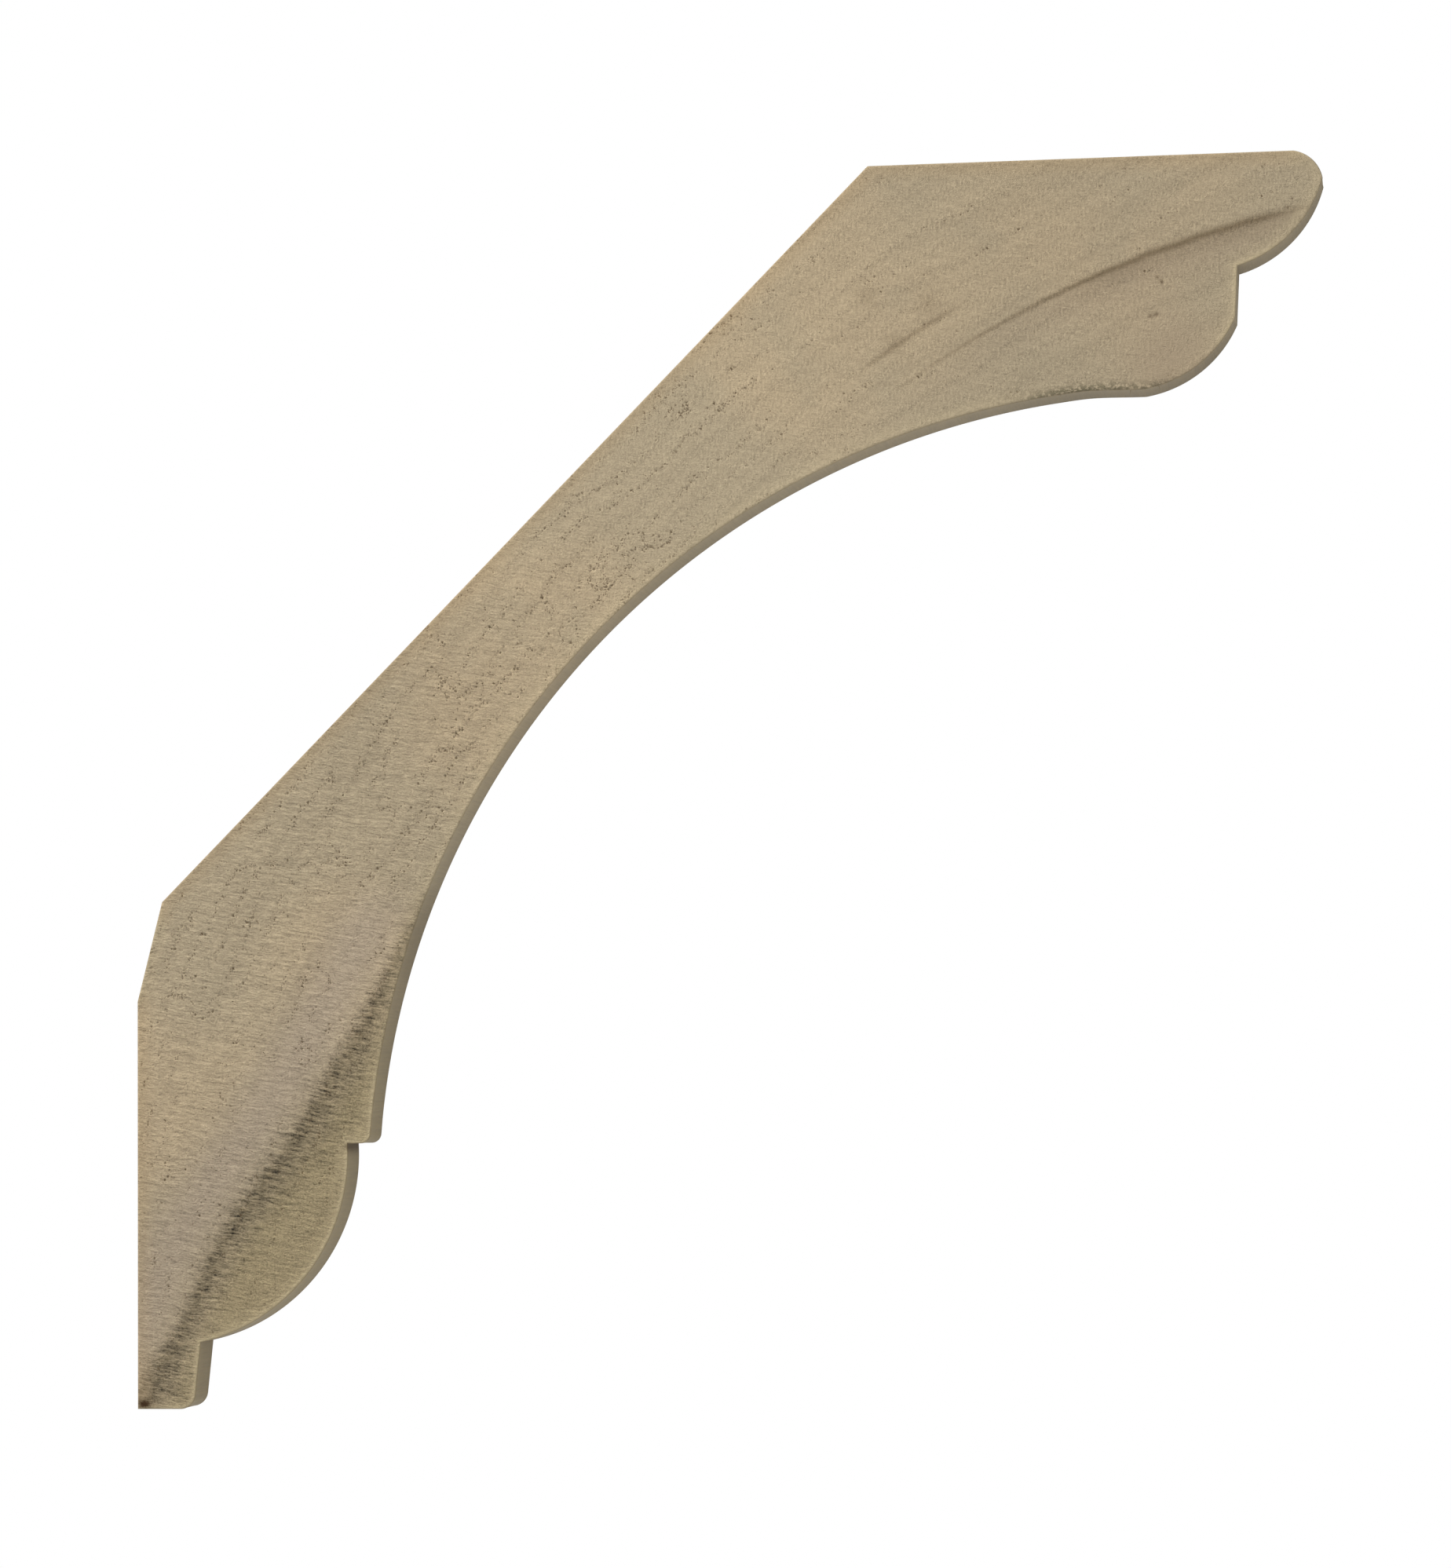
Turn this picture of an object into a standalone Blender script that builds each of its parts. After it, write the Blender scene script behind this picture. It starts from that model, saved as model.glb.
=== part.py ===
"""Crown moulding, a short sawn length, in metres, +Z up.

The wall lies in the plane x = 0 and the room is on the +X side. The flat that lies on the wall
is centred on the origin, the flat that lies on the ceiling is on top, and the length runs along Y.
"""
import math

import bmesh
import bpy
from mathutils import Vector

# Overall sizes
DROP = 0.0873              # how far the moulding comes down the wall
PROJECTION = 0.0850        # how far it reaches out along the ceiling
LENGTH = 0.0038            # sawn length, across the end grain

# Faces at the back
WALL_LAND = 0.0289         # height of the flat that lies on the wall
CEILING_LAND = 0.0319      # from the back edge of the ceiling flat to the tip
HEEL_HEIGHT = 0.0071       # height of the narrow bevel above the wall flat
HEEL_SETBACK = 0.0018      # how far that bevel leans away from the wall

# Members under the ceiling, from the tip down
NOSE_WIDTH = 0.0020        # eased edge between the ceiling flat and the quarter round
NOSE_HEIGHT = 0.0020
NOSE_RISE = 0.00045
ROUND_WIDTH = 0.0060       # quarter round
ROUND_HEIGHT = 0.0060
ROUND_RISE = 0.00112
BAND_HEIGHT = 0.0036       # upright band under the quarter round
BAND_DRAFT = 0.0002
LOBE_WIDTH = 0.0065        # lobe that turns in under the band
LOBE_HEIGHT = 0.0049
LOBE_RISE = 0.00104
SOFFIT_WIDTH = 0.0037      # short flat between the lobe and the cove

# The cove
COVE_SINK = 0.01355        # how far the cove dips below the straight line between its edges
COVE_LIP_RADIUS = 0.0007   # eased lower edge of the cove

# Members above the bottom edge, from the wall out
FOOT_WIDTH = 0.0046        # square fillet at the bottom
FOOT_HEIGHT = 0.0047
FOOT_DRAFT = 0.0005        # how much narrower the fillet is at its lower end
FOOT_RADIUS = 0.0011       # eased lower edge of the fillet
OVOLO_WIDTH = 0.0107       # ovolo above the fillet
OVOLO_HEIGHT = 0.0140
OVOLO_RISE = 0.00326
STEP_WIDTH = 0.0016        # small flat between the ovolo and the cove

FACET_ANGLE = math.radians(2.5)    # the most that one facet of a curve turns
SMOOTH_ANGLE = math.radians(20.0)  # sharper edges than this stay crisp

WOOD_COLOUR = (0.392, 0.314, 0.205, 1.0)
WOOD_ROUGHNESS = 0.78


def clear_scene():
    for item in list(bpy.data.objects):
        bpy.data.objects.remove(item, do_unlink=True)


def wood_material():
    material = bpy.data.materials.new("poplar")
    material.use_nodes = True
    shader = material.node_tree.nodes["Principled BSDF"]
    shader.inputs["Base Color"].default_value = WOOD_COLOUR
    shader.inputs["Roughness"].default_value = WOOD_ROUGHNESS
    shader.inputs["Metallic"].default_value = 0.0
    material.diffuse_color = WOOD_COLOUR
    return material


def bow(start, end, rise):
    """Points of the arc from start to end; a positive rise bulges to the right of the way there."""
    chord = end - start
    half = chord.length / 2.0
    radius = (half * half + rise * rise) / (2.0 * abs(rise))
    side = math.copysign(1.0, rise)
    normal = Vector((chord.y, -chord.x)).normalized() * side
    centre = (start + end) / 2.0 + normal * (abs(rise) - radius)
    turn = 2.0 * math.atan2(half, radius - abs(rise))
    steps = max(2, math.ceil(turn / FACET_ANGLE))
    first = start - centre
    points = []
    for step in range(steps + 1):
        angle = side * turn * step / steps
        cosine = math.cos(angle)
        sine = math.sin(angle)
        points.append(centre + Vector((first.x * cosine - first.y * sine,
                                       first.x * sine + first.y * cosine)))
    return points


def eased(before, corner, after, radius):
    """Points of the arc that rounds a corner between two straight runs."""
    inward = (before - corner).normalized()
    outward = (after - corner).normalized()
    half_angle = inward.angle(outward) / 2.0
    reach = min(radius / math.tan(half_angle),
                0.45 * (before - corner).length,
                0.45 * (after - corner).length)
    fitted = reach * math.tan(half_angle)
    start = corner + inward * reach
    end = corner + outward * reach
    rise = fitted * (1.0 - math.sin(half_angle))
    turns_left = inward.x * outward.y - inward.y * outward.x < 0.0
    return bow(start, end, rise if turns_left else -rise)


def profile():
    """The outline in the XZ plane, anticlockwise, starting at the bottom of the wall flat."""
    bottom = -WALL_LAND / 2.0
    ceiling = bottom + DROP

    foot_inner = Vector((0.0, bottom))
    foot_corner = Vector((FOOT_WIDTH - FOOT_DRAFT, bottom))
    foot_top = Vector((FOOT_WIDTH, bottom + FOOT_HEIGHT))
    ovolo_top = foot_top + Vector((OVOLO_WIDTH, OVOLO_HEIGHT))
    lip = ovolo_top + Vector((STEP_WIDTH, 0.0))

    nose_top = Vector((PROJECTION - NOSE_WIDTH, ceiling))
    nose_tip = Vector((PROJECTION, ceiling - NOSE_HEIGHT))
    band_top = nose_tip - Vector((ROUND_WIDTH, ROUND_HEIGHT))
    band_foot = band_top - Vector((BAND_DRAFT, BAND_HEIGHT))
    lobe_foot = band_foot - Vector((LOBE_WIDTH, LOBE_HEIGHT))
    cove_top = lobe_foot - Vector((SOFFIT_WIDTH, 0.0))

    ceiling_back = Vector((PROJECTION - CEILING_LAND, ceiling))
    heel_foot = Vector((0.0, bottom + WALL_LAND))
    heel_top = heel_foot + Vector((HEEL_SETBACK, HEEL_HEIGHT))

    cove = bow(lip, cove_top, -COVE_SINK)
    lip_points = eased(ovolo_top, lip, cove[1], COVE_LIP_RADIUS)

    runs = [
        [foot_inner],
        eased(foot_inner, foot_corner, foot_top, FOOT_RADIUS),
        bow(foot_top, ovolo_top, OVOLO_RISE),
        lip_points,
        cove[1:],
        bow(lobe_foot, band_foot, LOBE_RISE),
        bow(band_top, nose_tip, ROUND_RISE),
        bow(nose_tip, nose_top, NOSE_RISE)[1:],
        [ceiling_back, heel_top, heel_foot],
    ]
    return [point for run in runs for point in run]


def build_moulding(material):
    mesh = bpy.data.meshes.new("crown_moulding")
    shape = bmesh.new()
    ring = [shape.verts.new((point.x, -LENGTH / 2.0, point.y)) for point in profile()]
    front = shape.faces.new(ring)
    extruded = bmesh.ops.extrude_face_region(shape, geom=[front], use_keep_orig=True)
    moved = [item for item in extruded["geom"] if isinstance(item, bmesh.types.BMVert)]
    bmesh.ops.translate(shape, verts=moved, vec=(0.0, LENGTH, 0.0))
    bmesh.ops.recalc_face_normals(shape, faces=shape.faces)
    shape.to_mesh(mesh)
    shape.free()
    mesh.shade_smooth()
    mesh.set_sharp_from_angle(angle=SMOOTH_ANGLE)
    mesh.materials.append(material)
    moulding = bpy.data.objects.new("crown_moulding", mesh)
    bpy.context.scene.collection.objects.link(moulding)
    return moulding


def main():
    clear_scene()
    build_moulding(wood_material())


main()
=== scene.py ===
import math

import bmesh
import bpy
import numpy as np
from mathutils import Euler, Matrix, Quaternion, Vector, kdtree
from mathutils.geometry import delaunay_2d_cdt


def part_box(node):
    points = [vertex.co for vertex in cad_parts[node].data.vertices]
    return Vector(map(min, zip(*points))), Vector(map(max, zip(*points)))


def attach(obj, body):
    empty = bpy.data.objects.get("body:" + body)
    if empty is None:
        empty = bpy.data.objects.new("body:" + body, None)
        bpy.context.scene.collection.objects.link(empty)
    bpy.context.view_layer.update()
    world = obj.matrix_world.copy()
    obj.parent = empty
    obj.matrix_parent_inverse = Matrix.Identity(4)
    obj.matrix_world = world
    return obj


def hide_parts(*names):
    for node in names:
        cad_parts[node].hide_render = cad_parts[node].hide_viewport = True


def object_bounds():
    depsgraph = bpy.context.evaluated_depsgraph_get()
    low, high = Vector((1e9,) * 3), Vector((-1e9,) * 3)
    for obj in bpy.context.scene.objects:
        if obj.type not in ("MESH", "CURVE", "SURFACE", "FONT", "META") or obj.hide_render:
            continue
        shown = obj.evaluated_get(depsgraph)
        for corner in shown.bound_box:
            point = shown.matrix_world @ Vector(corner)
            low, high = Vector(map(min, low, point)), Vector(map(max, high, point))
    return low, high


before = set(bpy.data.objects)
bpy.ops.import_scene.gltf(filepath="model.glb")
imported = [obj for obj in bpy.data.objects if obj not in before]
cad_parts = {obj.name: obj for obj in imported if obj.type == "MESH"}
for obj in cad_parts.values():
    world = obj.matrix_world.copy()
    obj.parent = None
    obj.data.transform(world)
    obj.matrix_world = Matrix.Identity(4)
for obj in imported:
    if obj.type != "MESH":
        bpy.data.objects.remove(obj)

mm = 0.001
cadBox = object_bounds()
print("frame loaded")


def tone(red, green, blue):  # sRGB values out of 255 as a linear colour
    linear = []
    for value in (red, green, blue):
        share = value / 255
        linear.append(share / 12.92 if share <= 0.04045 else ((share + 0.055) / 1.055) ** 2.4)
    return (*linear, 1.0)


class Wire:  # one socket, used in ordinary sums
    def __init__(self, net, socket):
        self.net = net
        self.socket = socket

    def __add__(self, other):
        return self.net.sum("ADD", self, other)

    def __radd__(self, other):
        return self.net.sum("ADD", other, self)

    def __sub__(self, other):
        return self.net.sum("SUBTRACT", self, other)

    def __rsub__(self, other):
        return self.net.sum("SUBTRACT", other, self)

    def __mul__(self, other):
        return self.net.sum("MULTIPLY", self, other)

    def __rmul__(self, other):
        return self.net.sum("MULTIPLY", other, self)

    def __truediv__(self, other):
        return self.net.sum("DIVIDE", self, other)

    def __rtruediv__(self, other):
        return self.net.sum("DIVIDE", other, self)


class Net:  # makes and links the nodes of one tree, for a material or a geometry tree
    def __init__(self, tree):
        self.tree = tree

    def node(self, kind, settings=None, inputs=None, output=0):
        made = self.tree.nodes.new(kind)
        for name, value in (settings or {}).items():
            if name == "points":  # the stops of a float curve, from 0 to 1
                curve = made.mapping.curves[0]
                for spare in range(len(value) - 2):
                    curve.points.new(0.5, 0.5)
                for point, place in zip(curve.points, value):
                    point.location = place
                made.mapping.update()
            else:
                setattr(made, name, value)
        for name, value in (inputs or {}).items():
            self.feed(self.find(made.inputs, name), value)
        return None if output is None else Wire(self, self.find(made.outputs, output))

    def find(self, sockets, name):
        if isinstance(name, int):
            return sockets[name]
        for socket in sockets:
            if socket.identifier == name:
                return socket
        return sockets[name]

    def feed(self, socket, value):
        if isinstance(value, Wire):
            self.tree.links.new(value.socket, socket)
        else:
            socket.default_value = value

    def outputs(self, kind, settings, inputs, *names):  # several outputs of one node
        first = self.node(kind, settings, inputs, names[0])
        made = first.socket.node
        return [Wire(self, self.find(made.outputs, name)) for name in names]

    def sum(self, operation, a, b=0.0):
        return self.node("ShaderNodeMath", {"operation": operation}, {0: a, 1: b})

    def vector(self, x=0.0, y=0.0, z=0.0):
        return self.node("ShaderNodeCombineXYZ", {}, {"X": x, "Y": y, "Z": z})

    def split(self, vector):
        return [self.node("ShaderNodeSeparateXYZ", {}, {0: vector}, axis) for axis in range(3)]

    def noise(self, across, up, detail=2.0, roughness=0.5):  # one value for each place on a plane
        return self.node("ShaderNodeTexNoise", {"noise_dimensions": "2D"},
                         {"Vector": self.vector(across, up), "Scale": 1.0, "Detail": detail,
                          "Roughness": roughness}, 0)

    def grain(self, at, across, along, detail):  # fibres that run along Y
        return self.node("ShaderNodeTexNoise", {"noise_dimensions": "3D"},
                         {"Vector": self.vector(at["x"] * across, at["y"] * along, at["z"] * across),
                          "Scale": 1.0, "Detail": detail, "Roughness": 0.62}, 0)

    def ramp(self, value, low, high, smooth=True):  # 0 at low, 1 at high
        return self.node("ShaderNodeMapRange",
                         {"interpolation_type": "SMOOTHSTEP" if smooth else "LINEAR", "clamp": True},
                         {"Value": value, "From Min": low, "From Max": high})

    def bell(self, value, width):  # 1 at nought, falling away on both sides
        share = value / width
        return self.sum("EXPONENT", share * share * -1.0)

    def mix(self, factor, a, b, blend="MIX"):
        return self.node("ShaderNodeMix", {"data_type": "RGBA", "blend_type": blend},
                         {"Factor_Float": factor, "A_Color": a, "B_Color": b}, "Result_Color")

    def shade(self, colour, amount):  # a colour made lighter or darker by a factor
        return self.node("ShaderNodeVectorMath", {"operation": "SCALE"},
                         {0: colour, "Scale": amount})


def newMaterial(name):
    material = bpy.data.materials.new(name)
    material.use_nodes = True
    material.node_tree.nodes.clear()
    return material, Net(material.node_tree)


# The photographed view: the sawn end seen a little from below its middle and from the room's side
cameraPlace = {
    "position": (89.55 * mm, -332.05 * mm, 7.25 * mm),
    "turn": math.radians(8.097),      # towards the wall
    "rise": math.radians(3.777),
    "roll": math.radians(-0.520),
    "lens": 109.04,
    "sensor": 36.0,
}


def addCamera():
    data = bpy.data.cameras.new("photo camera")
    data.sensor_width = cameraPlace["sensor"]
    data.lens = cameraPlace["lens"]
    data.clip_start = 0.01
    data.clip_end = 20.0
    camera = bpy.data.objects.new("photo camera", data)
    camera.location = cameraPlace["position"]
    aim = Euler((math.pi / 2 + cameraPlace["rise"], 0.0, cameraPlace["turn"])).to_quaternion()
    camera.rotation_mode = "QUATERNION"
    camera.rotation_quaternion = aim @ Quaternion((0.0, 0.0, 1.0), cameraPlace["roll"])
    bpy.context.scene.collection.objects.link(camera)
    bpy.context.scene.camera = camera


studio = {
    "floorDrop": 60 * mm,       # below the moulding's lowest edge
    "floorRadius": 4.0,
    "floorMiddle": 0.04,        # out from the wall
    "floorTone": 0.55,          # for the light it throws back; the camera sees it white
    "skyLight": 0.66,
    "groundLight": 0.08,
    "horizon": (-0.4, 0.5),     # heights between which the one turns into the other
    "keyPower": 13.6,
    "keySize": 0.45,
    "keyPlace": (-0.62, -0.46, 0.85),
    "fillPower": 1.5,
    "fillSize": 0.8,
    "fillPlace": (0.9, -0.5, 0.1),
    "rimPower": 2.5,
    "rimPlace": (-0.3, 0.9, 0.6),
}


def addLamp(name, place, power, size, target):
    data = bpy.data.lights.new(name, "AREA")
    data.energy = power
    data.shape = "DISK"
    data.size = size
    lamp = bpy.data.objects.new(name, data)
    lamp.location = place
    lamp.rotation_mode = "QUATERNION"
    lamp.rotation_quaternion = (target - Vector(place)).to_track_quat("-Z", "Y")
    bpy.context.scene.collection.objects.link(lamp)


def addStudio():
    scene = bpy.context.scene
    scene.view_settings.view_transform = "Standard"
    world = bpy.data.worlds.new("studio")
    world.use_nodes = True
    world.node_tree.nodes.clear()
    net = Net(world.node_tree)
    up = net.split(net.node("ShaderNodeTexCoord", {}, {}, "Generated"))[2]
    ground, sky = studio["groundLight"], studio["skyLight"]
    light = ground + net.ramp(up, *studio["horizon"]) * (sky - ground)
    seen = net.node("ShaderNodeLightPath", {}, {}, "Is Camera Ray")
    back = net.node("ShaderNodeBackground", {},
                    {"Color": (1, 1, 1, 1), "Strength": light + seen * (1.0 - light)})
    net.node("ShaderNodeOutputWorld", {}, {"Surface": back}, None)
    scene.world = world

    floorMesh = bpy.data.meshes.new("floor")
    shape = bmesh.new()
    bmesh.ops.create_circle(shape, cap_ends=True, segments=96, radius=studio["floorRadius"])
    floorPlace = (studio["floorMiddle"], 0, cadBox[0].z - studio["floorDrop"])
    bmesh.ops.translate(shape, verts=shape.verts, vec=floorPlace)
    shape.to_mesh(floorMesh)
    shape.free()
    floor = bpy.data.objects.new("floor", floorMesh)
    scene.collection.objects.link(floor)
    material, net = newMaterial("pale floor")
    seen = net.node("ShaderNodeLightPath", {}, {}, "Is Camera Ray")
    paint = net.node("ShaderNodeBsdfDiffuse", {}, {"Color": (*[studio["floorTone"]] * 3, 1)})
    glow = net.node("ShaderNodeEmission", {}, {"Color": (1, 1, 1, 1), "Strength": 1.0})
    mixed = net.node("ShaderNodeMixShader", {}, {0: seen, 1: paint, 2: glow})
    net.node("ShaderNodeOutputMaterial", {}, {"Surface": mixed}, None)
    floorMesh.materials.append(material)

    middle = (cadBox[0] + cadBox[1]) / 2
    addLamp("key", studio["keyPlace"], studio["keyPower"], studio["keySize"], middle)
    addLamp("fill", studio["fillPlace"], studio["fillPower"], studio["fillSize"], middle)
    addLamp("back", studio["rimPlace"], studio["rimPower"], studio["keySize"], middle)


addCamera()
addStudio()
print("camera, lamps and floor placed")


# The sawn length: its fine mesh
woodMesh = {
    "acrossSaw": 0.16,        # mm between points across the saw marks, on the photographed end
    "alongSaw": 0.24,         # mm between points along them
    "farEnd": 2.0,            # how much coarser the other end is
    "edgeStep": 0.24,         # mm between points round the outline
    "sideStep": 0.26,         # mm between rows along the length
    "ease": 0.11,             # mm taken off the sawn arrises
    "easeShoulder": 0.29,     # the middle of the eased arris, as a share of it
    "cornerTurn": 15.0,       # degrees; sharper turns of the outline stay corners
    "straight": 4.0,          # mm; longer stretches of the outline stay straight
    "keepClear": 0.55,        # how near the lattice comes to the outline, as a share of its step
    "backLine": 19.2,         # mm; the back is where Z is more than X and this
}
sawAngle = math.radians(-9.4)  # the saw marks' slope on the end


def outlineOf(node):  # the profile of a CAD node as X, Z points in mm, in order round its end
    shape = bmesh.new()
    shape.from_mesh(node.data)
    bmesh.ops.remove_doubles(shape, verts=shape.verts, dist=1e-6)
    endY = min(vert.co.y for vert in shape.verts)
    following = {}
    for edge in shape.edges:
        if all(abs(vert.co.y - endY) < 1e-6 for vert in edge.verts):
            flat = [face.normal.y < -0.9 for face in edge.link_faces]
            if any(flat) and not all(flat):
                a, b = edge.verts
                following.setdefault(a, []).append(b)
                following.setdefault(b, []).append(a)
    start = next(iter(following))
    ring = [start]
    previous, current = None, start
    while True:
        step = [vert for vert in following[current] if vert is not previous][0]
        if step is start:
            break
        ring.append(step)
        previous, current = current, step
    points = np.array([(vert.co.x / mm, vert.co.z / mm) for vert in ring])
    shape.free()
    after = np.roll(points, -1, axis=0)
    area = np.sum(points[:, 0] * after[:, 1] - after[:, 0] * points[:, 1]) / 2
    return points if area > 0 else points[::-1]


def refine(points, step, cornerTurn):  # the outline with points a step apart, its corners kept
    count = len(points)
    forward = np.roll(points, -1, axis=0) - points
    lengths = np.hypot(forward[:, 0], forward[:, 1])
    heading = np.degrees(np.arctan2(forward[:, 1], forward[:, 0]))
    turn = (heading - np.roll(heading, 1) + 180) % 360 - 180
    corner = np.abs(turn) > cornerTurn
    fine = []
    for i in range(count):
        p1, p2 = points[i], points[(i + 1) % count]
        pieces = max(1, int(round(lengths[i] / step)))
        straight = lengths[i] > woodMesh["straight"]
        t1 = (p2 - p1) if straight or corner[i] else (p2 - points[i - 1]) / (
            lengths[i] + lengths[i - 1]) * lengths[i]
        t2 = (p2 - p1) if straight or corner[(i + 1) % count] else (
            points[(i + 2) % count] - p1) / (lengths[i] + lengths[(i + 1) % count]) * lengths[i]
        for k in range(pieces):
            t = k / pieces
            fine.append((2 * t**3 - 3 * t**2 + 1) * p1 + (t**3 - 2 * t**2 + t) * t1
                        + (3 * t**2 - 2 * t**3) * p2 + (t**3 - t**2) * t2)
    return np.array(fine)


def inset(ring, amount):  # the ring moved inwards, in mm
    before = ring - np.roll(ring, 1, axis=0)
    after = np.roll(ring, -1, axis=0) - ring
    before /= np.linalg.norm(before, axis=1)[:, None]
    after /= np.linalg.norm(after, axis=1)[:, None]
    normal = np.stack([-(before + after)[:, 1], (before + after)[:, 0]], axis=1)
    size = np.linalg.norm(normal, axis=1)[:, None]
    normal /= size
    stretch = np.minimum(2.0 / np.maximum(size, 1e-6), 1.5)
    return ring + normal * stretch * amount


def endCap(ring, across, along):  # fills the ring with a lattice that follows the saw marks
    tree = kdtree.KDTree(len(ring))
    for i, (x, z) in enumerate(ring):
        tree.insert((x, z, 0), i)
    tree.balance()
    c, s = math.cos(sawAngle), math.sin(sawAngle)
    u = ring[:, 0] * c + ring[:, 1] * s
    v = -ring[:, 0] * s + ring[:, 1] * c
    rows = np.arange(v.min(), v.max(), across)
    inner = []
    for k, row in enumerate(rows):
        # where this row is inside the outline
        a, b = v, np.roll(v, -1)
        hit = (a > row) != (b > row)
        cut = u[hit] + (row - a[hit]) / (b[hit] - a[hit]) * (np.roll(u, -1)[hit] - u[hit])
        cut.sort()
        for left, right in zip(cut[0::2], cut[1::2]):
            first = math.ceil(left / along - 0.5 * (k % 2)) + 0.5 * (k % 2)
            place = first * along
            while place < right:
                x, z = place * c - row * s, place * s + row * c
                if tree.find((x, z, 0))[2] > woodMesh["keepClear"] * along:
                    inner.append((x, z))
                place += along
    points = [Vector(point) for point in ring] + [Vector(point) for point in inner]
    edges = [(i, (i + 1) % len(ring)) for i in range(len(ring))]
    made = delaunay_2d_cdt(points, edges, [], 1, 1e-6)
    return np.array([tuple(p) for p in made[0]]), made[2], made[3]


def woodBody():
    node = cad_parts["crown_moulding"]
    low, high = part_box("crown_moulding")
    ring = refine(outlineOf(node), woodMesh["edgeStep"], woodMesh["cornerTurn"])
    ease = woodMesh["ease"]
    shoulder = ease * woodMesh["easeShoulder"]
    nearY, farY = low.y / mm, high.y / mm
    innerRing = inset(ring, ease)
    midRing = inset(ring, shoulder)
    # rows of points along the length, from the photographed end to the far one
    steps = max(4, round((farY - nearY - 2 * ease) / woodMesh["sideStep"]))
    stations = [(nearY, innerRing), (nearY + shoulder, midRing)]
    stations += [(y, ring) for y in np.linspace(nearY + ease, farY - ease, steps + 1)]
    stations += [(farY - shoulder, midRing), (farY, innerRing)]
    size = len(ring)
    verts = []
    for y, loop in stations:
        verts += [(x, y, z) for x, z in loop]
    faces = []
    for row in range(len(stations) - 1):
        here, ahead = row * size, (row + 1) * size
        for i in range(size):
            j = (i + 1) % size
            faces.append((here + i, ahead + i, ahead + j, here + j))
    nearCap = endCap(innerRing, woodMesh["acrossSaw"], woodMesh["alongSaw"])
    farCap = endCap(innerRing, woodMesh["acrossSaw"] * woodMesh["farEnd"],
                    woodMesh["alongSaw"] * woodMesh["farEnd"])
    for (points, triangles, origin), y, offset in ((nearCap, nearY, 0),
                                                   (farCap, farY, (len(stations) - 1) * size)):
        # the lattice points are new, and the ring's own points are shared with the sides
        place = []
        for index, (x, z) in enumerate(points):
            source = [i for i in origin[index] if i < size]
            if source:
                place.append(offset + source[0])
            else:
                place.append(len(verts))
                verts.append((x, y, z))
        for triangle in triangles:
            order = triangle if y == nearY else triangle[::-1]
            faces.append(tuple(place[i] for i in order))
    mesh = bpy.data.meshes.new("sawn_moulding")
    mesh.from_pydata([(x * mm, y * mm, z * mm) for x, y, z in verts], [], faces)
    mesh.validate()
    body = bpy.data.objects.new("sawn_moulding", mesh)
    bpy.context.scene.collection.objects.link(body)
    return body, ring


def storeEdges(body, ring):  # each point's distance from the moulded edge and the back edge, in mm
    mesh = body.data
    back = []
    moulded = []
    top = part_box("crown_moulding")[1].z / mm
    touch = 0.01
    for x, z in ring:
        onTop = z > top - touch
        onWall = x < touch
        onBack = z > x + woodMesh["backLine"]
        (back if onTop or onWall or onBack else moulded).append((x, z, 0))
    for name, points in (("backEdge", back), ("mouldedEdge", moulded)):
        tree = kdtree.KDTree(len(points))
        for i, point in enumerate(points):
            tree.insert(point, i)
        tree.balance()
        layer = mesh.attributes.new(name, "FLOAT", "POINT")
        values = [tree.find((vert.co.x / mm, vert.co.z / mm, 0))[2] for vert in mesh.vertices]
        layer.data.foreach_set("value", values)


body, ring = woodBody()
storeEdges(body, ring)
triangleCount = sum(len(face.vertices) - 2 for face in body.data.polygons)
print("wood meshed with", len(body.data.vertices), "points and", triangleCount, "triangles")


# The figure of the wood, in mm across the end: X from the wall, Z up
figure = {
    "ringCentre": (128.0, -52.7),     # where the growth rings are centred
    "ringPitch": 2.5,
    "bandPath": ((-16.0, 0.4), (-11.4, 2.1), (-7.0, 4.1), (-3.1, 5.9), (0.8, 8.5), (4.6, 11.3),
                 (9.0, 14.2), (13.5, 16.9), (18.4, 19.6), (24.0, 21.8)),  # height, then place
    "bandRange": (-16.0, 24.0),       # heights between which the band runs
    "bandReach": 24.0,                # how far out from the wall its path may lie
    "bandLean": 0.84,                 # turns mm along X into mm across the leaning band
    "heart": (98.2, -6.4),            # where the curved growth line is centred
    "lineRadius": 76.6,
    "lineWidth": 0.26,
    "secondLine": 2.6,                # how far outside it the short line runs
    "pale": (31.0, 44.0),             # the neck is a little paler
    "paleReach": 20.0,
    "darkSpots": (((52.9, 63.6), 0.75), ((57.4, 62.9), 0.9), ((54.9, 60.1), 0.8)),  # place, reach
    "lobeHaze": ((74.5, 58.6), 3.2),  # place and reach
    "pinholes": ((72.92, 61.5, 0.17), (73.3, 61.62, 0.17), (73.41, 64.24, 0.13),
                 (73.69, 63.91, 0.15), (82.55, 68.86, 0.1), (82.84, 69.48, 0.08)),  # place, reach
    "tornPlaces": ((72.6, 64.5, 0.3, 0.4), (33.8, 43.3, 0.7, 0.2), (23.8, 35.2, 1.0, 0.12),
                   (22.7, 36.3, 0.5, 0.2)),  # place, reach and how torn
    "cracks": ((37.8, 47.1, 1.0), (33.6, 43.9, 0.7)),  # open curves: middle and radius
    "stain": (0.5, -14.1),            # brown spot at the bottom corner
    "notch": (15.25, 4.0),            # the inner corner below the step: a small split, with painted shade
    "notchSplinters": (15.45, 4.25),
}
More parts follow.
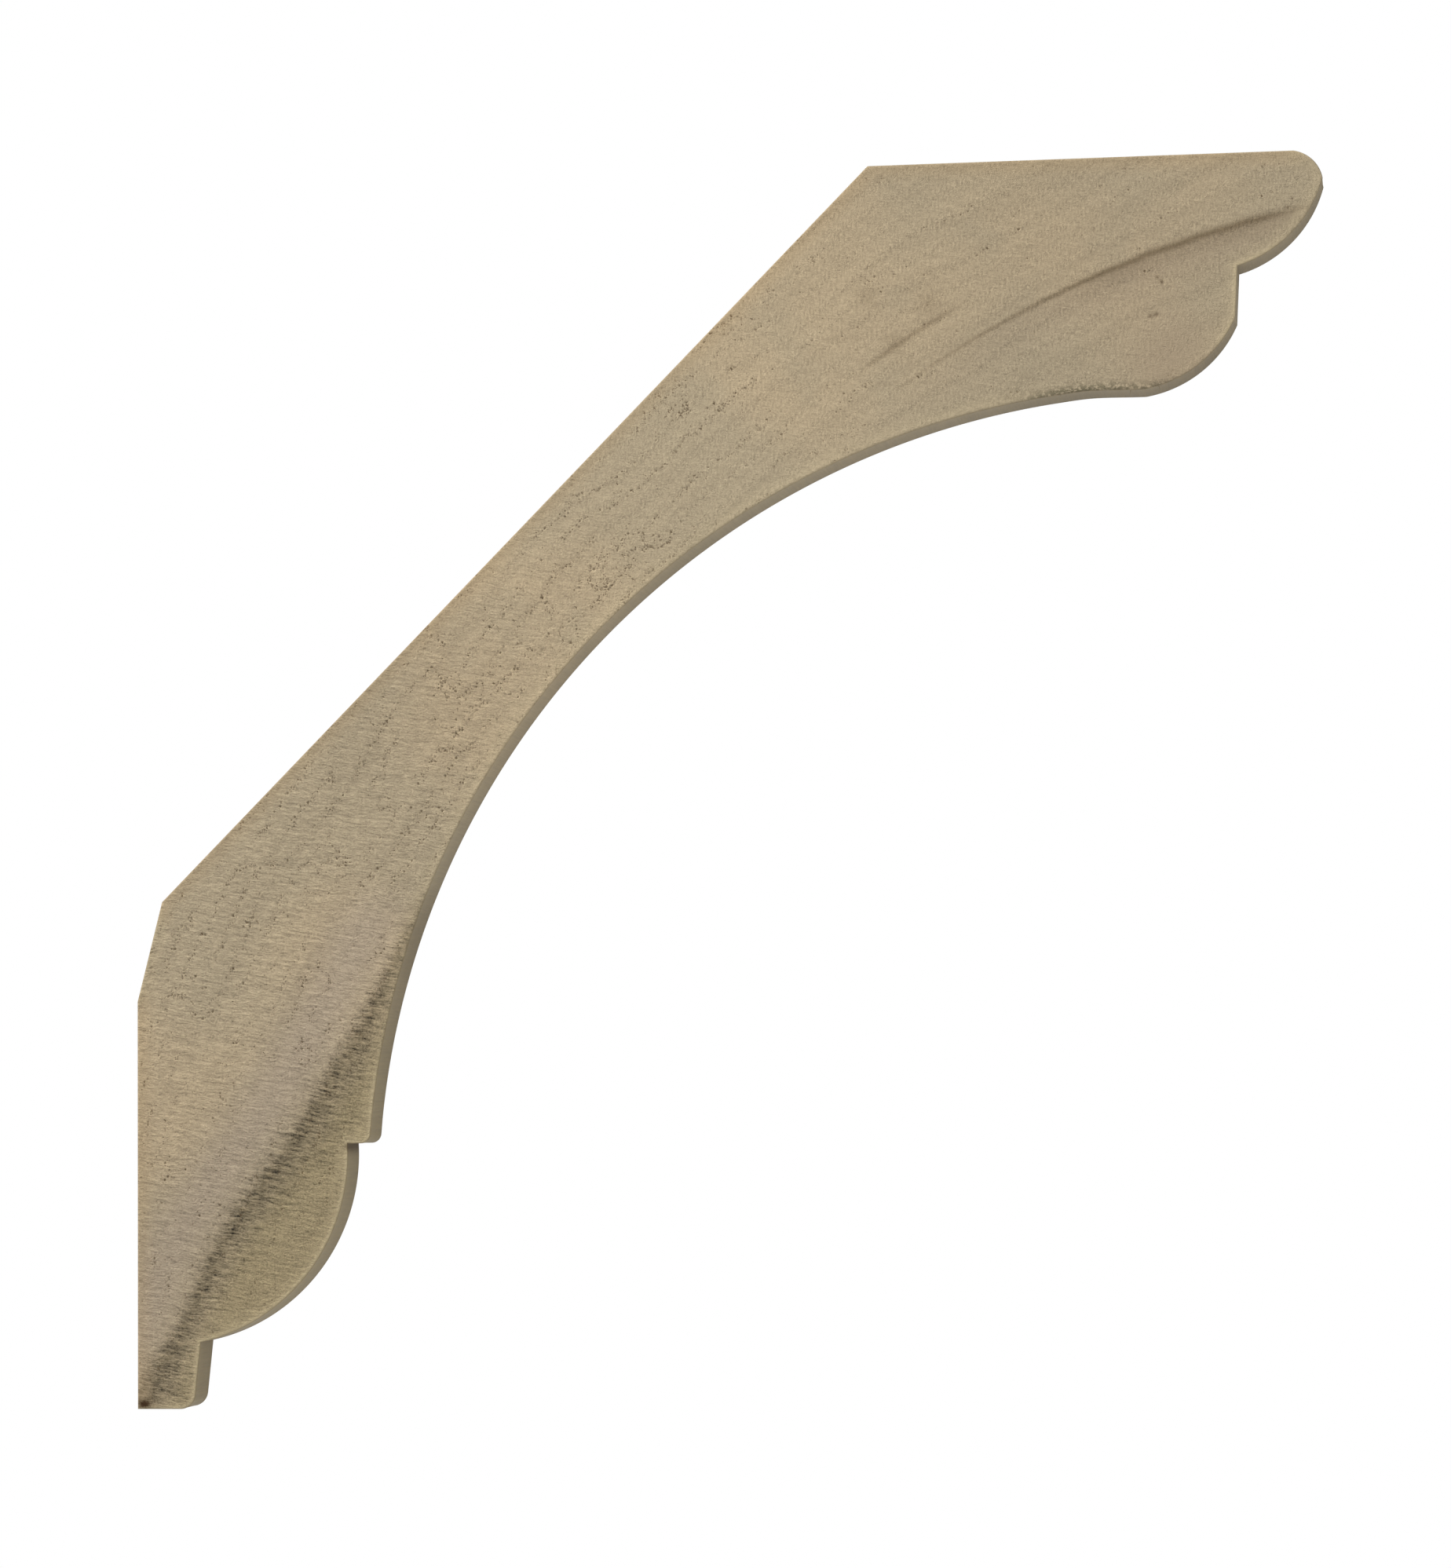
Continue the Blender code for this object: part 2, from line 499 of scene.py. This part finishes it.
woodTones = {
    "plain": tone(169, 153, 126),
    "warm": tone(176, 157, 127),
    "cool": tone(160, 147, 122),
    "pink": tone(162, 147, 127),
    "olive": tone(146, 132, 99),
    "band": tone(96, 85, 63),
    "line": tone(106, 90, 66),
    # a lighter edge tone: partly wear, partly painted highlight on the arrises
    "wearAndHighlight": tone(188, 172, 138),
    "back": tone(172, 145, 106),
    # side: the planed faces' tone, darker than the end grain as painted shade
    "side": tone(125, 112, 85),
    "pit": tone(88, 72, 51),
    "stain": tone(62, 42, 20),
    "haze": tone(152, 135, 112),
    "fleck": tone(86, 81, 60),
}


def gridCoordinates(net, place):  # in mm: across, along and up, then along and across the saw marks
    x, y, z = [value * 1000.0 for value in net.split(place)]
    c, s = math.cos(sawAngle), math.sin(sawAngle)
    return {"x": x, "y": y, "z": z, "u": x * c + z * s, "v": z * c - x * s}


def woodCoordinates(net):
    return gridCoordinates(net, net.node("ShaderNodeTexCoord", {}, {}, "Object"))


def ringWobble(net, at):
    return (net.noise(at["x"] * 0.12, at["z"] * 0.12 + 4.0) - 0.5) * 2.2


def distance(net, at, centre):
    dx = at["x"] - centre[0]
    dz = at["z"] - centre[1]
    return net.sum("SQRT", dx * dx + dz * dz)


def paleWood(net, at):  # the drift of tone and the growth rings, before heartwood and lines
    t = woodTones
    broad = net.noise(at["x"] * 0.05, at["z"] * 0.05, 1.0)
    patch = net.noise(at["x"] * 0.16 + 9.0, at["z"] * 0.16, 3.0)
    colour = net.mix(net.ramp(broad, 0.35, 0.65), t["cool"], t["warm"])
    colour = net.mix(0.5, colour, t["plain"])
    colour = net.mix(net.ramp(patch, 0.5, 0.75) * 0.35, colour, t["cool"])
    drift = net.noise(at["u"] * 0.22, at["v"] * 1.3 + 3.0)
    colour = net.shade(colour, 1.0 + (drift - 0.5) * 0.10)

    radius = distance(net, at, figure["ringCentre"]) + ringWobble(net, at)
    phase = net.sum("FRACT", radius / figure["ringPitch"])
    late = net.ramp(phase, 0.55, 0.95) * net.ramp(phase, 1.0, 0.96)
    wave = net.noise(radius * 0.6, at["u"] * 0.06 + 2.0)
    colour = net.shade(colour, 1.0 - late * 0.045 + (wave - 0.5) * 0.14)
    return colour, radius, patch


def heartBand(net, at, colour, sway, feather, foot):  # olive heartwood, its dark band, pink beside
    t = woodTones
    low, high = figure["bandRange"]
    reach = figure["bandReach"]
    stops = [((z - low) / (high - low), x / reach) for z, x in figure["bandPath"]]
    height = (at["z"] - low) / (high - low)
    bandX = net.node("ShaderNodeFloatCurve", {"points": stops}, {"Value": height}) * reach
    across = (at["x"] - bandX) * figure["bandLean"] + sway * 0.4 + (feather - 0.5) * 0.9
    lower = net.ramp(at["z"], 24.0, 19.0)
    heartwood = net.ramp(across, -0.3, 2.5) * net.ramp(at["z"], 30.0, 16.0)
    colour = net.mix(heartwood * 0.75, colour, t["olive"])
    pink = net.bell(across + 2.9, 2.2) * lower
    colour = net.mix(pink * 0.75, colour, t["pink"])
    across = across + foot * 0.5
    widen = 0.60 + net.bell(at["z"] - 5.0, 9.0) * 0.58 + foot * 0.7
    core = net.bell(across + 0.1, widen * 0.75) * (0.55 - foot * 0.2)
    behind = net.ramp(across, -0.6 - foot, 0.5) * net.ramp(across, widen * 3.8, 0.4) * 0.62
    stripe = net.bell(across - 5.2, 0.6) * net.bell(at["z"] - 1.0, 5.0) * 0.15
    band = (core + behind + stripe) * lower * (0.75 + feather * 0.55)
    colour = net.mix(net.sum("MINIMUM", band, 1.0) * 0.74, colour, t["band"])
    return colour, band, heartwood


def growthLines(net, at, colour, sway, feather, patch):  # the curved dark line, haze, spots
    t = woodTones
    toLine = distance(net, at, figure["heart"]) - figure["lineRadius"] + sway * 0.16
    along = net.ramp(at["x"], 52.0, 63.0) * net.ramp(at["x"], 86.0, 79.5)
    wide = figure["lineWidth"] * (0.38 + net.ramp(at["x"], 54.0, 74.0, False) * 0.72)
    strong = 0.62 + net.ramp(at["x"], 62.0, 70.0) * 0.38
    line = net.bell(toLine, wide) * along * strong
    under = net.ramp(toLine, 0.15, -0.1) * net.ramp(toLine, -1.6, -0.1) * along
    under = under * net.ramp(at["x"], 66.0, 71.0)
    haze = net.ramp(toLine, 0.1, -0.05) * net.ramp(toLine, -4.2, -0.2) * along
    haze = haze * (0.5 + patch * 0.8) * (0.35 + net.ramp(at["x"], 58.0, 74.0) * 0.65)
    colour = net.mix(haze * 0.62, colour, t["haze"])
    colour = net.mix(under * (0.12 + feather * 0.22), colour, t["line"])
    colour = net.mix(line * 0.74, colour, t["line"])
    second = net.bell(toLine - figure["secondLine"], figure["lineWidth"] * 0.75)
    second = second * net.ramp(at["x"], 52.0, 54.0) * net.ramp(at["x"], 60.5, 57.5)
    colour = net.mix(second * 0.45, colour, t["line"])
    for place, reach in figure["darkSpots"]:
        spot = distance(net, at, place) + (feather - 0.5) * reach
        colour = net.mix(net.bell(spot, reach) * 0.22, colour, t["line"])
    return colour


def woodFigure(net, at):  # the wood's own colour, with what the saw marks need to know of it
    sway = (net.noise(at["x"] * 0.5, at["z"] * 0.5) - 0.5) * 1.2
    feather = net.noise(at["u"] * 1.3 - at["v"] * 0.3, at["v"] * 5.2, 3.0, 0.72)
    foot = net.ramp(at["z"], -8.0, -13.0)
    colour, radius, patch = paleWood(net, at)
    colour, band, heartwood = heartBand(net, at, colour, sway, feather, foot)
    colour = growthLines(net, at, colour, sway, feather, patch)
    bright = net.bell(distance(net, at, figure["pale"]), figure["paleReach"]) * 0.06
    lowerPart = net.ramp(at["z"], 36.0, 27.0) * net.ramp(at["z"], -4.0, 14.0) * 0.06
    upperPart = net.ramp(at["x"], 44.0, 64.0) * 0.07
    colour = net.shade(colour, 1.0 + bright - upperPart + lowerPart + foot * 0.03)
    return colour, radius, band, heartwood


sawn = {                      # the worked surface of a sawn end, in mm
    "streakPitch": 0.15,      # across the saw marks
    "streakLength": 0.62,     # along them
    "napSize": 0.14,          # the nap that the blade leaves
    "rowPitch": 1.45,         # between the rows of torn grain that follow the growth rings
    "rowRadius": 137.0,       # of a middling row, for lengths along it
    "tearSize": 0.25,         # between one torn spot and the next
    "smallTears": 0.62,       # the smaller spots' share of that
    "endShift": 9.0,          # keeps the two ends from being marked alike
    "bumpDepth": 0.13,
}


def endShift(net, at):
    return net.sum("SIGN", at["y"]) * sawn["endShift"]


def sawnSurface(net, at):  # heights of the saw marks and of the nap, about nought
    side = endShift(net, at)
    u, v, x, z = at["u"], at["v"] + side, at["x"], at["z"] + side
    v = v + (net.noise(x * 0.4, z * 0.4, 1.0) - 0.5) * 0.3
    fine = net.noise(u / sawn["streakLength"], v / sawn["streakPitch"], 2.0, 0.7)
    long = net.noise(u / sawn["streakLength"] * 0.22, v / sawn["streakPitch"] * 0.6 + 5.0, 1.5)
    lowerLeft = net.ramp(at["x"] * 0.6 + at["z"], 84.0, 34.0)
    streak = ((fine - 0.5) * 1.05 + (long - 0.5) * 0.60) * (0.25 + lowerLeft * 0.75)
    size = sawn["napSize"]
    nap = net.noise(x / size, z / size, 2.5, 0.85) - 0.5
    dash = net.noise(x / size * 0.8, z / size * 0.3 + 7.0, 1.0, 0.6) - 0.5
    return streak, nap + dash * (1.0 - lowerLeft) * 0.5


def tornShare(net, at, radius):  # how much of the grain is torn out: rows, loose chains, cracks
    side = endShift(net, at)
    x, z = at["x"], at["z"]
    across = radius / sawn["rowPitch"]
    row = net.sum("FLOOR", across)
    centre = figure["ringCentre"]
    arc = net.sum("ARCTAN2", z - centre[1], x - centre[0]) * sawn["rowRadius"]
    off = (net.sum("FRACT", across) - 0.5) * sawn["rowPitch"]
    jitter = net.noise(arc * 1.3, row * 3.1 + side, 1.0) - 0.5
    stretch = net.noise(arc * 0.13, row * 0.9 + side, 2.0, 0.6)
    calm = net.ramp(x, 34.0, 62.0) * 0.10
    clump = net.noise(x * 0.24, z * 0.24 + side, 2.0, 0.6)
    curl = net.noise(x * 0.5 + 1.0, z * 0.5 + side, 1.5)
    inRow = net.bell(off + jitter * 0.6, 0.17) * net.ramp(stretch - calm, 0.40, 0.58)
    inChain = net.bell(curl - 0.5, 0.018) * net.ramp(clump - calm, 0.48, 0.58)
    loose = net.ramp(clump - calm, 0.40, 0.75)
    share = (inRow * 0.36 + inChain * 0.5 + loose * 0.05) * (1.0 - calm * 7.0)
    share = share * (0.5 + net.ramp(z, 2.0, 30.0) * 0.5)
    for placeX, placeZ, reach, much in figure["tornPlaces"]:
        share = share + net.bell(distance(net, at, (placeX, placeZ)), reach) * much
    for placeX, placeZ, bend in figure["cracks"]:
        crack = net.bell(distance(net, at, (placeX, placeZ)) - bend + jitter * 0.35, 0.10)
        share = share + crack * net.ramp(z - placeZ, 0.4, 0.0) * 1.6
    return share


def tornGrain(net, at, radius, nap):  # where grain is torn out, and a painted highlight on the side of each spot that faces the light
    x, z = at["x"], at["z"]
    share = tornShare(net, at, radius)
    torn, lit = 0.0, 0.0
    for placeX, placeZ, reach in figure["pinholes"]:
        torn = torn + net.bell(distance(net, at, (placeX, placeZ)) + nap * 0.15, reach)
    large = sawn["tearSize"]
    for size, shift in ((large, 0.0), (large * sawn["smallTears"], 17.0)):
        place = net.vector(x / size + nap * 1.1 + shift, z / size - nap * 0.8)
        gap, pick, middle = net.outputs("ShaderNodeTexVoronoi", {"voronoi_dimensions": "2D"},
                                        {"Vector": place, "Scale": 1.0},
                                        "Distance", "Color", "Position")
        red, green, blue = net.split(pick)
        chosen = net.ramp(red - share, 0.02, -0.06) * (0.35 + green * 0.85)
        pit = net.ramp(gap, 0.42, 0.26) * chosen
        dx, dz = [net.split(place)[axis] - net.split(middle)[axis] for axis in (0, 1)]
        # painted highlight: the lower right rim of each torn spot made lighter, as if lit from the
        # upper left
        glint = (dx * 0.6 - dz * 0.8) * net.bell(gap - 0.42, 0.16) * chosen
        torn = net.sum("MAXIMUM", torn, pit)
        lit = lit + glint
    return torn, lit


def finishMaterial(net, colour, roughness, height, depth):
    bump = net.node("ShaderNodeBump", {},
                    {"Height": height, "Distance": depth * mm, "Strength": 1.0})
    shader = net.node("ShaderNodeBsdfPrincipled", {},
                      {"Base Color": colour, "Roughness": roughness, "Specular IOR Level": 0.25,
                       "Normal": bump})
    net.node("ShaderNodeOutputMaterial", {}, {"Surface": shader}, None)


def edgeTonesAndHighlight(net, at, colour):  # the tones that follow the outline of the end: the warm back edge, a lighter moulded edge that is partly wear and partly a painted highlight on the arris, and flecks
    t = woodTones
    mouldedEdge = net.node("ShaderNodeAttribute", {"attribute_name": "mouldedEdge"}, {}, "Fac")
    backEdge = net.node("ShaderNodeAttribute", {"attribute_name": "backEdge"}, {}, "Fac")
    colour = net.mix(net.ramp(backEdge, 1.5, 0.0) * 0.26, colour, t["back"])
    lobe = net.ramp(at["x"], 62.0, 67.0) * net.ramp(at["x"], 75.5, 73.0)
    # where the lighter edge is strongest, the low part and one edge near the tip: partly wear, partly
    # painted highlight
    onBand = net.ramp(at["x"], 77.0, 77.8) * net.ramp(at["z"], 67.0, 65.5)
    wearAndHighlightZone = net.ramp(at["z"], 14.0, 6.0) + onBand
    # the lighter edge along the moulded outline: partly wear, partly painted highlight
    wearAndHighlight = net.ramp(mouldedEdge, 0.28, 0.06) * 0.08 + net.ramp(mouldedEdge, 0.42, 0.1) * wearAndHighlightZone * 0.45
    wearAndHighlight = wearAndHighlight + net.ramp(mouldedEdge, 1.3, 0.1) * 0.2
    colour = net.mix(wearAndHighlight * (1.0 - lobe), colour, t["wearAndHighlight"])
    ragged = net.noise(at["x"] * 2.3, at["z"] * 3.4, 2.0, 0.7)
    fleck = net.ramp(mouldedEdge, 0.9, 0.1) * net.ramp(ragged, 0.36, 0.56) * lobe
    return net.mix(fleck * 0.8, colour, t["fleck"])


def marks(net, at, colour, nap):  # the haze on the lobe, the split below the step with painted shade in its corner, and the stain
    t = woodTones
    place, reach = figure["lobeHaze"]
    colour = net.mix(net.bell(distance(net, at, place), reach) * 0.6, colour, t["haze"])
    # painted shade in the step's inner corner, over a small split
    notch = distance(net, at, figure["notch"]) + nap * 0.5
    colour = net.mix(net.bell(notch, 0.26) * 0.6, colour, t["pit"])
    acrossStain, upStain = at["x"] - figure["stain"][0], (at["z"] - figure["stain"][1]) * 1.6
    toStain = net.sum("SQRT", acrossStain * acrossStain + upStain * upStain) + nap * 0.4
    stain = net.bell(toStain, 0.42) * 0.95 + net.bell(toStain, 1.1) * 0.3
    return net.mix(net.sum("MINIMUM", stain, 1.0), colour, t["stain"])


def endGrainMaterial():
    material, net = newMaterial("poplar end grain")
    at = woodCoordinates(net)
    colour, radius, band, heartwood = woodFigure(net, at)
    streak, nap = sawnSurface(net, at)
    torn, lit = tornGrain(net, at, radius, nap)
    ringRow = net.bell(net.sum("FRACT", radius / sawn["rowPitch"]) - 0.5, 0.24)
    fuzz = nap * (0.66 + ringRow * 0.35 + band * 0.8 + heartwood * 0.5)
    stroke = streak * (0.74 + band * 1.75 + heartwood * 0.12)
    # lighter and darker with the streaks and nap, and lighter with the painted highlight on the torn
    # spots
    colour = net.shade(colour, 1.0 + stroke + fuzz + lit * 0.8)
    colour = net.mix(torn * 0.74, colour, woodTones["pit"])
    colour = marks(net, at, edgeTonesAndHighlight(net, at, colour), nap)
    rough = net.ramp(at["x"] * 0.6 + at["z"], 90.0, 40.0)
    height = streak * 0.75 + nap * (0.3 + rough * 0.45 + ringRow * 0.15)
    finishMaterial(net, colour, 0.88 - nap * 0.2, height, sawn["bumpDepth"])
    return material


planed = {                    # the planed and moulded faces
    "fibreScale": 5.5,        # how fine the fibres are across, for each mm
    "fibreRun": 0.22,         # the same along them
    "knifeScale": 3.9,        # radians of the knife marks' wave for each mm
    "nearAndFar": 1.9,        # mm from the middle to each end, for the painted shade that darkens the planed faces towards the far end
    "bumpDepth": 0.04,        # mm
}


def planedMaterial():
    material, net = newMaterial("poplar planed face")
    at = woodCoordinates(net)
    # the planed faces pulled towards the darker side tone: painted shade
    colour = net.mix(0.62, woodFigure(net, at)[0], woodTones["side"])
    fibre = net.grain(at, planed["fibreScale"], planed["fibreRun"], 3.0)
    knife = net.sum("SINE", at["y"] * planed["knifeScale"])
    # painted shade: the planed faces darker towards the far end
    depth = net.ramp(at["y"], -planed["nearAndFar"], planed["nearAndFar"], False)
    # painted shade: darker on the underside of the lobe
    lobe = net.ramp(at["x"], 60.0, 66.0) * net.ramp(at["z"], 60.5, 59.0)
    colour = net.shade(colour, 1.24 - depth * 0.24 - lobe * 0.16 + (fibre - 0.5) * 0.5)
    # painted shade in the concave corner under the step
    notch = net.bell(distance(net, at, figure["notch"]), 0.42)
    colour = net.mix(notch * 0.8, colour, woodTones["pit"])
    height = (fibre - 0.5) + knife * 0.06
    finishMaterial(net, colour, 0.62 + (fibre - 0.5) * 0.2, height, planed["bumpDepth"])
    return material


relief = {                    # mm, worked into the mesh itself
    "Streak depth": 0.05,
    "Nap depth": 0.025,
    "Tear depth": 0.05,
    "Fibre depth": 0.05,
}


def edgeDistance(net, name):  # how far a point is from an edge, as storeEdges left it
    return net.node("GeometryNodeInputNamedAttribute", {"data_type": "FLOAT"}, {"Name": name},
                    "Attribute")


def reliefTree():  # saw marks, nap and torn grain in the ends, and fine long grain in the sides
    tree = bpy.data.node_groups.new("sawn relief", "GeometryNodeTree")
    tree.interface.new_socket("Geometry", in_out="INPUT", socket_type="NodeSocketGeometry")
    for name, depth in relief.items():
        socket = tree.interface.new_socket(name, in_out="INPUT", socket_type="NodeSocketFloat")
        socket.default_value = depth
    for name in ("End grain", "Planed face"):
        tree.interface.new_socket(name, in_out="INPUT", socket_type="NodeSocketMaterial")
    tree.interface.new_socket("Geometry", in_out="OUTPUT", socket_type="NodeSocketGeometry")
    net = Net(tree)
    entry = tree.nodes.new("NodeGroupInput")
    given = {socket.name: Wire(net, socket) for socket in entry.outputs if socket.name}

    place = net.node("GeometryNodeInputPosition")
    at = gridCoordinates(net, place)
    wobble = ringWobble(net, at)
    radius = distance(net, at, figure["ringCentre"]) + wobble
    streak, nap = sawnSurface(net, at)
    torn = tornGrain(net, at, radius, nap)[0]
    toEdge = net.sum("MINIMUM", edgeDistance(net, "mouldedEdge"), edgeDistance(net, "backEdge"))
    onEnd = net.ramp(toEdge, 0.10, 0.40)
    depth = ((0.5 - streak) * given["Streak depth"] + (0.5 - nap) * given["Nap depth"]
             + torn * given["Tear depth"]) * onEnd
    inward = net.sum("SIGN", at["y"]) * -0.001
    sink = net.vector(0.0, depth * inward, 0.0)
    fibre = net.grain(at, 2.6, 0.2, 2.0)
    fromEnd = net.ramp(net.sum("ABSOLUTE", at["y"]), 1.8, 1.3)
    normal = net.node("GeometryNodeInputNormal")
    groove = net.node("ShaderNodeVectorMath", {"operation": "SCALE"},
                      {0: normal, "Scale": fibre * given["Fibre depth"] * fromEnd * -0.001})
    offset = net.node("ShaderNodeVectorMath", {"operation": "ADD"}, {0: sink, 1: groove})
    worked = net.node("GeometryNodeSetPosition", {},
                      {"Geometry": given["Geometry"], "Offset": offset})
    solid = net.node("GeometryNodeRealizeInstances", {}, {"Geometry": worked})
    endOn = net.node("FunctionNodeCompare", {"data_type": "FLOAT", "operation": "GREATER_THAN"},
                     {"A": net.sum("ABSOLUTE", net.split(normal)[1]), "B": 0.6})
    sides = net.node("GeometryNodeSetMaterial", {},
                     {"Geometry": solid, "Material": given["Planed face"]})
    dressed = net.node("GeometryNodeSetMaterial", {},
                       {"Geometry": sides, "Selection": endOn, "Material": given["End grain"]})
    net.node("NodeGroupOutput", {}, {"Geometry": dressed}, None)
    return tree


fibres = {                    # splinters left by the blade, in mm
    "Density": 5.5,           # on each square millimetre
    "Length": 0.42,
    "Thickness": 0.045,
    "Seed": 4,
}


def fibreTree():  # small torn splinters along the lobe's lower edge and below the step
    tree = bpy.data.node_groups.new("torn fibres", "GeometryNodeTree")
    tree.interface.new_socket("Geometry", in_out="INPUT", socket_type="NodeSocketGeometry")
    for name in fibres:
        kind = "NodeSocketInt" if name == "Seed" else "NodeSocketFloat"
        socket = tree.interface.new_socket(name, in_out="INPUT", socket_type=kind)
        socket.default_value = fibres[name]
    tree.interface.new_socket("Torn wood", in_out="INPUT", socket_type="NodeSocketMaterial")
    tree.interface.new_socket("Geometry", in_out="OUTPUT", socket_type="NodeSocketGeometry")
    net = Net(tree)
    entry = tree.nodes.new("NodeGroupInput")
    given = {socket.name: Wire(net, socket) for socket in entry.outputs if socket.name}
    at = gridCoordinates(net, net.node("GeometryNodeInputPosition"))
    edge = edgeDistance(net, "mouldedEdge")
    lobe = net.ramp(edge, 0.36, 0.16) * net.ramp(at["x"], 64.5, 66.5)
    lobe = lobe * net.ramp(at["x"], 74.5, 73.0) * net.ramp(at["z"], 60.0, 58.5)
    notch = net.ramp(distance(net, at, figure["notchSplinters"]), 0.4, 0.3)
    facing = net.ramp(net.split(net.node("GeometryNodeInputNormal"))[1], -0.6, -0.8)
    where = (lobe + notch) * facing
    points = net.node("GeometryNodeDistributePointsOnFaces", {"distribute_method": "RANDOM"},
                      {"Mesh": given["Geometry"], "Density": where * given["Density"] * 1000000.0,
                       "Seed": given["Seed"]}, "Points")
    points = net.node("GeometryNodeSetPosition", {},
                      {"Geometry": points, "Offset": (0.0, 0.00012, 0.0)})
    splinter = net.node("GeometryNodeMeshCone", {"fill_type": "NGON"},
                        {"Vertices": 5, "Radius Top": 0.0, "Radius Bottom": given["Thickness"] * 0.001,
                         "Depth": given["Length"] * 0.001}, "Mesh")
    turn = net.node("FunctionNodeRandomValue", {"data_type": "FLOAT_VECTOR"},
                    {"Min": (2.75, -0.9, 0.0), "Max": (3.05, 0.9, 6.2), "Seed": given["Seed"]}, 0)
    swell = net.node("FunctionNodeRandomValue", {"data_type": "FLOAT"},
                     {"Min_001": 0.35, "Max_001": 1.0, "Seed": given["Seed"]}, 1)
    splinter = net.node("GeometryNodeStoreNamedAttribute", {"data_type": "BOOLEAN", "domain": "FACE"},
                        {"Geometry": splinter, "Name": "splinter", "Value": True})
    placed = net.node("GeometryNodeInstanceOnPoints", {},
                      {"Points": points, "Instance": splinter, "Rotation": turn, "Scale": swell})
    both = tree.nodes.new("GeometryNodeJoinGeometry")
    tree.links.new(placed.socket, both.inputs[0])
    tree.links.new(given["Geometry"].socket, both.inputs[0])
    solid = net.node("GeometryNodeRealizeInstances", {}, {"Geometry": Wire(net, both.outputs[0])})
    isSplinter = net.node("GeometryNodeInputNamedAttribute", {"data_type": "BOOLEAN"},
                          {"Name": "splinter"}, "Attribute")
    dressed = net.node("GeometryNodeSetMaterial", {}, {"Geometry": solid, "Selection": isSplinter,
                                                       "Material": given["Torn wood"]})
    net.node("NodeGroupOutput", {}, {"Geometry": dressed}, None)
    return tree


def tornMaterial():
    material, net = newMaterial("poplar torn fibre")
    at = woodCoordinates(net)
    streaky = net.grain(at, 6.0, 1.0, 1.0)
    colour = net.mix(streaky, woodTones["fleck"], woodTones["plain"])
    finishMaterial(net, colour, 0.85 - streaky * 0.1, streaky, 0.02)
    return material


def workGeometry(item, tree, values):  # the tree's result becomes the object's plain mesh
    modifier = item.modifiers.new(tree.name, "NODES")
    modifier.node_group = tree
    for socket in tree.interface.items_tree:
        if socket.in_out == "INPUT" and socket.name in values:
            modifier[socket.identifier] = values[socket.name]
    graph = bpy.context.evaluated_depsgraph_get()
    made = bpy.data.meshes.new_from_object(item.evaluated_get(graph), depsgraph=graph)
    item.modifiers.remove(modifier)
    item.data = made


def finishBody():
    workGeometry(body, reliefTree(), {**relief, "End grain": endGrainMaterial(),
                                      "Planed face": planedMaterial()})
    workGeometry(body, fibreTree(), {**fibres, "Torn wood": tornMaterial()})
    body.data.shade_smooth()
    body.data.set_sharp_from_angle(angle=math.radians(50))
    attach(body, "root")
    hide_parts("crown_moulding")


finishBody()
print("materials on")
